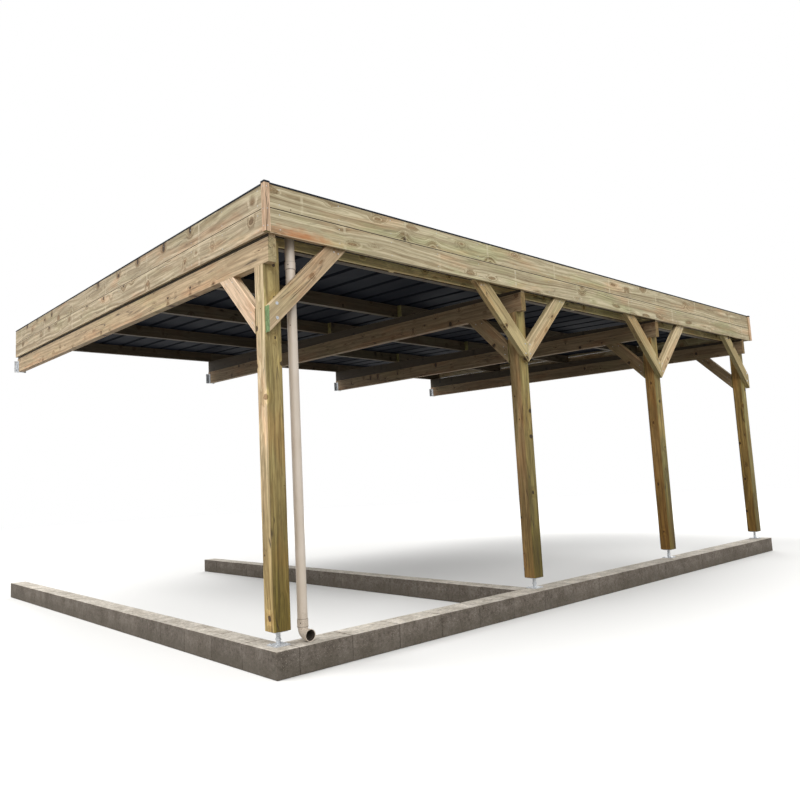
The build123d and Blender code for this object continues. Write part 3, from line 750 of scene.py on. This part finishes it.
def wafer_screw(bm, at, axis, radius):
    """A structural screw: a broad flat head with a socket."""
    thick = radius * 0.3
    profile = ((radius, -0.0005), (radius, thick * 0.6), (radius * 0.9, thick), (radius * 0.42, thick * 1.15),
               (radius * 0.36, thick * 1.15), (radius * 0.32, thick * 0.2))
    turned(bm, profile, 20, at, axis)


def hex_bolt(bm, at, axis, across, washer_radius, stud=0.0):
    """A washer, a hexagon with eased corners and, over it, the end of a stud."""
    washer = ((washer_radius, -0.0005), (washer_radius, 0.0018), (washer_radius * 0.95, 0.0024))
    turned(bm, washer, 22, at, axis)
    tall, corner = across * 0.5, across / 2 / math.cos(math.pi / 6)
    turned(bm, ((corner, 0.002), (corner, tall * 0.85), (corner * 0.88, tall)), 6, at, axis)
    if stud:
        radius, foot, top = across * 0.28, tall * 0.9, tall + stud
        turned(bm, ((radius, foot), (radius, top), (across * 0.23, top + 0.001)), 14, at, axis)


def countersunk_screw(bm, at, axis, radius=0.0048):
    """A small head pulled level with the timber, with a socket."""
    profile = ((radius, -0.001), (radius, 0.0006), (radius * 0.5, 0.0009), (radius * 0.42, 0.0009),
               (radius * 0.36, -0.0008))
    turned(bm, profile, 12, at, axis)


def brace_screws():
    """Two screws in each side brace's foot, broad ones in the end braces, and two small ones by its top."""
    # Head radius, and places along from the foot and up from it, or down from the top
    lone_radius, lone_places = 0.0135, ((0.072, 0.116), (0.072, 0.233))
    pair_radius, pair_places = 0.0075, ((0.040, 0.092), (0.040, 0.196))
    top_radius, top_places = 0.006, ((0.70, 0.050), (0.655, 0.042))
    bm = bmesh.new()
    for node in sorted(nodes):
        if not node.startswith("side_brace"):
            continue
        low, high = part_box(node)
        toward = -1 if node.endswith("front") else 1
        foot = high.y if toward < 0 else low.y
        lone = "1" in node or "4" in node
        for along, up in lone_places if lone else pair_places:
            at = Vector((high.x, foot + toward * along, low.z + up))
            wafer_screw(bm, at, outward, lone_radius if lone else pair_radius)
        for along, down in top_places:
            countersunk_screw(bm, Vector((high.x, foot + toward * along, high.z - down)), outward, top_radius)
    finish_piece(bm, "brace_screws", zinc)


def beam_brace_screws():
    """Small screws through the beam braces' ends, on both faces."""
    radius = 0.0055
    foot_places = ((0.045, 0.10), (0.06, 0.19))         # in from the posts' side, up from the foot
    top_places = ((0.12, 0.045), (0.21, 0.05))          # in from the wall's side, down from the top
    bm = bmesh.new()
    for number in range(1, 5):
        low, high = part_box(f"beam_brace_{number}")
        places = [(high.x - along, low.z + up) for along, up in foot_places]
        places += [(low.x + along, high.z - down) for along, down in top_places]
        for y, out in ((low.y, -to_back), (high.y, to_back)):
            for x, z in places:
                countersunk_screw(bm, Vector((x, y, z)), out, radius)
    finish_piece(bm, "beam_brace_screws", zinc)


def anchor_hardware():
    """Nuts on the base plates' studs, and a threaded sleeve with its nut on each stem."""
    plate, stud_inset = 0.008, 0.020            # the plate's thickness, and its edge to the studs
    nut_across, washer_radius, stud = 0.013, 0.0095, 0.003
    root, crest, pitch, thread_end = 0.0160, 0.0174, 0.004, 0.012
    nut_radius, nut_foot, nut_tall, nut_ease = 0.0225, 0.038, 0.016, 0.002
    bm = bmesh.new()
    for number in range(1, 5):
        low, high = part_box(f"post_anchor_{number}")
        middle = (low + high) / 2
        inset = (high.x - low.x) / 2 - stud_inset
        for sx in (-1, 1):
            for sy in (-1, 1):
                at = Vector((middle.x + sx * inset, middle.y + sy * inset, low.z + plate))
                hex_bolt(bm, at, upward, nut_across, washer_radius, stud)
        thread = []
        height = plate
        while height < high.z - low.z - thread_end:
            for radius, rise in ((root, 0.0), (crest, 0.001), (crest, 0.0018), (root, 0.003)):
                thread.append((radius, height + rise))
            height += pitch
        foot = Vector((middle.x, middle.y, low.z))
        turned(bm, thread, 24, foot, upward)
        nut_top = nut_foot + nut_tall
        nut = ((nut_radius * 0.9, nut_foot), (nut_radius, nut_foot + nut_ease),
               (nut_radius, nut_top - nut_ease), (nut_radius * 0.9, nut_top))
        turned(bm, nut, 6, foot, upward)
    finish_piece(bm, "anchor_hardware", zinc)


def hanger_hardware():
    """Wall bolts through the hangers' flanges and nails in their cheeks."""
    flange, bolt_side, bolt_up = 0.003, 0.0605, 0.05        # bolts sit in the flanges' holes
    hole_centre = 0.087                                     # from the hanger's underside
    cheek, nail_radius = 0.0405, 0.0045                     # from the beam's middle plane
    nail_places = ((0.030, 0.030), (0.055, 0.058), (0.030, 0.086), (0.055, 0.114))
    bm = bmesh.new()
    for number in range(1, 5):
        low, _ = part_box(f"wall_hanger_{number}")
        beam_low, beam_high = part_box(f"beam_{number}")
        middle = (beam_low.y + beam_high.y) / 2
        for side in (-1, 1):
            for up in (-1, 1):
                at = Vector((low.x + flange, middle + side * bolt_side, low.z + hole_centre + up * bolt_up))
                hex_bolt(bm, at, outward, 0.016, 0.012)
            for along, up in nail_places:
                at = Vector((low.x + along, middle + side * cheek, low.z + up))
                countersunk_screw(bm, at, side * to_back, nail_radius)
    finish_piece(bm, "hanger_hardware", zinc)


def board_screws():
    """Pairs of screws along the fascia boards and in the trims."""
    end_margin, side_steps, front_steps = 0.10, 15, 12
    wall_margin, rise_start = 0.08, 0.048           # by the wall, and in from the trims' outer face
    trim_rows, trim_shift = (0.045, 0.185, 0.364), 0.002
    bm = bmesh.new()
    trim_low, trim_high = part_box("corner_trim_front")
    height = trim_high.z - trim_low.z
    rows = (0.040, 0.162, height - 0.165, height - 0.042)
    span = board_high.y - board_low.y - 2 * end_margin
    for step in range(side_steps + 1):
        y = board_low.y + end_margin + span * step / side_steps
        for up in rows:
            countersunk_screw(bm, Vector((board_high.x, y, board_low.z + up)), outward)
    for node, out in (("front_fascia", -1), ("back_fascia", 1)):
        low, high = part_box(node)
        y = low.y if out < 0 else high.y
        for step in range(front_steps + 1):
            x = low.x + wall_margin + (high.x - low.x - 2 * end_margin) * step / front_steps
            foot = trim_low.z + (trim_high.x - rise_start - x) * slope
            for up in rows:
                countersunk_screw(bm, Vector((x, y, foot + up)), out * to_back)
    for node, out in (("corner_trim_front", -1), ("corner_trim_back", 1)):
        low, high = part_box(node)
        y = low.y if out < 0 else high.y
        middle = (low + high) / 2
        for up in trim_rows:
            countersunk_screw(bm, Vector((high.x, middle.y + out * trim_shift, low.z + up)), outward)
            countersunk_screw(bm, Vector((middle.x, y, low.z + up)), out * to_back)
    finish_piece(bm, "board_screws", zinc)


def sheet_crests():
    """The middle of each rib's crest, the sheets' wall end, the crests' height there and the deck's slope."""
    points = [v.co for v in nodes["roof_sheets"].data.vertices]
    x_low, x_high = min(p.x for p in points), max(p.x for p in points)
    wall_end, gutter_end = ([p for p in points if abs(p.x - x) < 0.001] for x in (x_low, x_high))
    top, foot = max(p.z for p in wall_end), max(p.z for p in gutter_end)
    edges = sorted({round(p.y, 4) for p in wall_end if p.z > top - 0.0005})
    middles = [(a + b) / 2 for a, b in zip(edges[::2], edges[1::2])]
    return middles, x_low, top, (top - foot) / (x_high - x_low)


crests, x_sheets, z_crest, deck_slope = sheet_crests()


def sheet_screws():
    """Coated screws with sealing washers through every rib's crest, over each purlin."""
    margin, lap = 0.02, 0.15        # left free at the start of a purlin's length, and where it laps the next
    bm = bmesh.new()
    out = Vector((deck_slope, 0, 1))
    for node in sorted(nodes):
        if not is_purlin(node):
            continue
        for length in solids_of(node):
            y_low = min(v.co.y for v in length.verts)
            y_high = max(v.co.y for v in length.verts)
            start = [v.co.x for v in length.verts if v.co.y < y_low + 0.001]
            end = [v.co.x for v in length.verts if v.co.y > y_high - 0.001]
            start, end = sum(start) / len(start), sum(end) / len(end)
            y_last = y_high if y_high > crests[-1] else y_high - lap
            for y in crests:
                if y_low + margin < y < y_last:
                    x = start + (end - start) * (y - y_low) / (y_high - y_low)
                    at = Vector((x, y, z_crest - (x - x_sheets) * deck_slope))
                    hex_bolt(bm, at, out, 0.008, 0.0085)
            length.free()
    finish_piece(bm, "sheet_screws", dark_steel)


def rib_fillers():
    """Foam fillers that close the ribs over the wall purlin."""
    length, from_end = 0.045, 0.006         # along the rib, and back from the sheets' end
    sink, tall = 0.0025, 0.0375             # below the crest's upper face, and the filler's own height
    half_foot, half_crest = 0.0335, 0.0142
    start = x_sheets + from_end
    bm = bmesh.new()
    for y in crests:
        sections = []
        for x in (start, start + length):
            crest = z_crest - (x - x_sheets) * deck_slope - sink
            foot = crest - tall
            sections.append([bm.verts.new(corner) for corner in (
                (x, y - half_foot, foot), (x, y + half_foot, foot),
                (x, y + half_crest, crest), (x, y - half_crest, crest))])
        bm.faces.new(list(reversed(sections[0])))
        bm.faces.new(sections[1])
        skin(bm, sections)
    bmesh.ops.recalc_face_normals(bm, faces=bm.faces)
    bmesh.ops.bevel(bm, geom=list(bm.edges), offset=0.0012, segments=1, affect="EDGES")
    finish_piece(bm, "rib_fillers", foam)


# The downpipe's joints, as places on its own axis
pipe_low, pipe_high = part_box("downpipe")
shoe_low, shoe_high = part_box("downpipe_shoe")
pipe_middle = (pipe_low + pipe_high) / 2
upper_socket = pipe_high.z - 0.296


def on_pipe(height):
    """A point on the pipe's axis."""
    return Vector((pipe_middle.x, pipe_middle.y, height))


def shoe_film(bm, film=0.0004, steps=32, bend_steps=8):
    """A closed thin film of silt inside the shoe, from its collar and round its bend."""
    bend, bore, tube = 0.052, 0.0420, 0.0364        # radii of the bend, and of the film in collar and tube
    centre_z = shoe_low.z + 0.047
    x_bend = shoe_high.x - 0.050
    path = []
    for back, radius in ((0.005, bore), (0.0225, bore), (0.0226, tube), (0.045, tube)):
        path.append((Vector((shoe_high.x - back, pipe_middle.y, centre_z)), -outward, radius))
    for step in range(1, bend_steps + 1):
        turn = math.radians(90 * step / bend_steps)
        x, z = x_bend - bend * math.sin(turn), centre_z + bend - bend * math.cos(turn)
        path.append((Vector((x, pipe_middle.y, z)), Vector((-math.cos(turn), 0, math.sin(turn))), tube))
    spokes = [(math.cos(math.tau * step / steps), math.sin(math.tau * step / steps)) for step in range(steps)]
    rings = []
    for at, ahead, radius in path + [(at, ahead, radius + film) for at, ahead, radius in reversed(path)]:
        other = ahead.cross(to_back)
        rings.append([bm.verts.new(at + (to_back * c + other * s) * radius) for c, s in spokes])
    skin(bm, rings, closed=True)
    bmesh.ops.recalc_face_normals(bm, faces=bm.faces)


def pipe_shadow_lines_and_silt():
    """Dark lines of painted shadow round the pipe's sockets, and the silt inside the shoe."""
    bm = bmesh.new()
    tube, socket = 0.0402, 0.0440
    # Painted shadow: thin dark rings where the pipe enters its sockets
    for height, radius in ((shoe_high.z, tube), (shoe_high.z - 0.058, socket), (upper_socket - 0.004, tube),
                           (upper_socket + 0.06, tube)):
        ring = ((radius, 0.0), (radius + 0.0005, 0.0004), (radius + 0.0005, 0.0020), (radius, 0.0024))
        turned(bm, ring, 40, on_pipe(height), upward)
    shoe_film(bm)
    finish_piece(bm, "pipe_shadow_lines_and_silt", shade_and_grime)


def pipe_screws():
    """A screw in each of the pipe's sockets, and one higher up."""
    socket, tube, high_up = 0.0438, 0.040, 2.684
    bm = bmesh.new()
    out = Vector((0.55, -0.83, 0.0)).normalized()
    for height, radius in ((shoe_high.z - 0.026, socket), (upper_socket + 0.034, socket), (high_up, tube)):
        wafer_screw(bm, on_pipe(height) + out * radius, out, 0.0045)
    finish_piece(bm, "pipe_screws", shade_and_grime)


def gutter_straps():
    """Flat straps that hold the gutter's sides together, with a rivet at each end."""
    count, end_margin, drop = 9, 0.35, 0.006
    low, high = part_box("gutter")
    size = Vector((high.x - low.x - 0.004, 0.024, 0.002))
    bm = bmesh.new()
    for step in range(count):
        y = low.y + end_margin + (high.y - low.y - 2 * end_margin) * step / (count - 1)
        add_box(bm, size, Vector(((low.x + high.x) / 2, y, high.z - drop)))
        for x in (low.x + 0.012, high.x - 0.012):
            at = Vector((x, y, high.z - drop + 0.001))
            turned(bm, ((0.004, 0.0), (0.004, 0.0014), (0.0028, 0.0024)), 12, at, upward)
    bmesh.ops.recalc_face_normals(bm, faces=bm.faces)
    finish_piece(bm, "gutter_straps", zinc)


brace_screws()
beam_brace_screws()
anchor_hardware()
hanger_hardware()
board_screws()
sheet_screws()
rib_fillers()
pipe_shadow_lines_and_silt()
pipe_screws()
gutter_straps()


# Kerb blocks


def add_block(bm, tone, centre, size, shade):
    """One block with eased arrises, with painted light on top and painted shade on its sides."""
    # Painted light and shade: a pale tone for the top face and a darker one for the sides
    arris, top, side = 0.005, linear(218, 210, 198), linear(126, 117, 108)
    made = set(add_box(bm, size, centre))
    edges = [edge for edge in bm.edges if edge.verts[0] in made]
    bevelled = bmesh.ops.bevel(bm, geom=edges, offset=arris, segments=2, profile=0.6, affect="EDGES")
    z_top = centre.z + size.z / 2
    for face in bevelled["faces"]:
        for vert in face.verts:
            colour = top if vert.co.z > z_top - 0.001 else side
            vert[tone] = (*(c * shade for c in colour), 1.0)


def kerb_blocks(node, axis, from_high, block_length=0.5):
    """Blocks with mortar between them, in the kerb's own box."""
    joint, side_play = 0.004, 0.001
    mortar_end, mortar_side, mortar_top, mortar_foot = 0.02, 0.014, 0.006, 0.001
    low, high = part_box(node)
    across = 1 - axis
    draw = random.Random(node)
    bm = bmesh.new()
    tone = bm.verts.layers.float_color.new("tone")
    length = high[axis] - low[axis]
    for number in range(math.ceil(length / block_length - 0.02)):
        start = number * block_length
        end = min(start + block_length, length)
        if from_high:
            start, end = length - end, length - start
        size, centre = high - low, (low + high) / 2
        size[axis], centre[axis] = end - start - joint, low[axis] + (start + end) / 2
        size[across] -= side_play
        add_block(bm, tone, centre, size, draw.uniform(0.9, 1.06))
    size, centre = high - low, (low + high) / 2
    size[axis] -= mortar_end
    size[across] -= mortar_side
    size.z -= mortar_top
    centre.z = low.z + mortar_foot + size.z / 2
    for vert in add_box(bm, size, centre):
        vert[tone] = (*linear(92, 86, 76), 1.0)
    finish_piece(bm, f"blocks_{node}", block, (node,))


kerb_blocks("front_kerb", 0, True)
kerb_blocks("cross_kerb", 0, True)
kerb_blocks("side_kerb", 1, False)


# Floor, light and camera


def background_rays(tree):
    """One for rays that show the background itself: from the camera, off a gloss or through glass."""
    path = tree.nodes.new("ShaderNodeLightPath")
    seen = path.outputs["Is Camera Ray"]
    for kind in ("Is Glossy Ray", "Is Transmission Ray"):
        either = tree.nodes.new("ShaderNodeMath")
        either.operation = "MAXIMUM"
        tree.links.new(seen, either.inputs[0])
        tree.links.new(path.outputs[kind], either.inputs[1])
        seen = either.outputs[0]
    return seen


def floor():
    """A wide floor, pale where it is seen and white far away, that throws little light back."""
    bpy.ops.mesh.primitive_circle_add(vertices=96, radius=90.0, fill_type="NGON", location=(0, 0, -0.002))
    ground = bpy.context.object
    ground.name = "floor"
    t = Tree("floor")
    seen = background_rays(t)
    away = t.vector("LENGTH", t.place(), output="Value")
    far = t.times(t.range(away, 9.0, 34.0), seen)
    t.surface(Base_Color=t.mix(seen, (0.18, 0.18, 0.17), (0.80, 0.79, 0.77)))
    t.surface(Roughness=0.95, Specular_IOR_Level=0.0)
    glow = t.nodes.new("ShaderNodeEmission")
    both = t.nodes.new("ShaderNodeMixShader")
    t.links.new(far, both.inputs[0])
    t.links.new(t.shader.outputs[0], both.inputs[1])
    t.links.new(glow.outputs[0], both.inputs[2])
    t.links.new(both.outputs[0], t.nodes["Material Output"].inputs["Surface"])
    ground.data.materials.append(t.material)


def world(level):
    """Soft even light, seen as white behind the object."""
    sky = bpy.data.worlds.new("studio")
    bpy.context.scene.world = sky
    sky.use_nodes = True
    tree = sky.node_tree
    back = tree.nodes["Background"]
    back.inputs["Color"].default_value = (0.96, 0.98, 1.0, 1.0)
    back.inputs["Strength"].default_value = level
    white = tree.nodes.new("ShaderNodeBackground")
    white.inputs["Color"].default_value = (1.0, 1.0, 1.0, 1.0)
    white.inputs["Strength"].default_value = 1.0
    both = tree.nodes.new("ShaderNodeMixShader")
    tree.links.new(background_rays(tree), both.inputs[0])
    tree.links.new(back.outputs[0], both.inputs[1])
    tree.links.new(white.outputs[0], both.inputs[2])
    tree.links.new(both.outputs[0], tree.nodes["World Output"].inputs["Surface"])


def lamp(name, strength, toward, spread):
    """A distant soft lamp that shines along a direction."""
    data = bpy.data.lights.new(name, "SUN")
    data.energy = strength
    data.angle = math.radians(spread)
    light = bpy.data.objects.new(name, data)
    light.rotation_euler = Vector(toward).to_track_quat("-Z", "Y").to_euler()
    bpy.context.scene.collection.objects.link(light)


def camera():
    """The photograph's view, as found from the carport's own corners."""
    focal_pixels, picture_pixels, sensor = 713.1, 800, 36.0
    place = Vector((x_post + 4.723, y_front - 2.924, kerb_top + 1.183))
    yaw, pitch, roll = (math.radians(a) for a in (-47.661, 6.507, -2.988))
    ahead = Vector((math.sin(yaw) * math.cos(pitch), math.cos(yaw) * math.cos(pitch), math.sin(pitch)))
    level = Vector((math.cos(yaw), -math.sin(yaw), 0.0))
    upright = level.cross(ahead)
    right = level * math.cos(roll) + upright * math.sin(roll)
    up = upright * math.cos(roll) - level * math.sin(roll)
    data = bpy.data.cameras.new("camera")
    data.sensor_width = sensor
    data.lens = focal_pixels / picture_pixels * sensor
    data.clip_end = 300.0
    view = bpy.data.objects.new("camera", data)
    view.matrix_world = Matrix.Translation(place) @ Matrix((right, up, -ahead)).transposed().to_4x4()
    bpy.context.scene.collection.objects.link(view)
    bpy.context.scene.camera = view


floor()
world(0.65)
lamp("key", 2.05, (0.35, 0.75, -0.9), 40.0)
lamp("fill", 1.9, (-0.8, 0.3, -0.6), 50.0)
lamp("back", 1.3, (0.45, -0.8, -0.75), 50.0)
camera()
bpy.context.scene.view_settings.view_transform = "Standard"
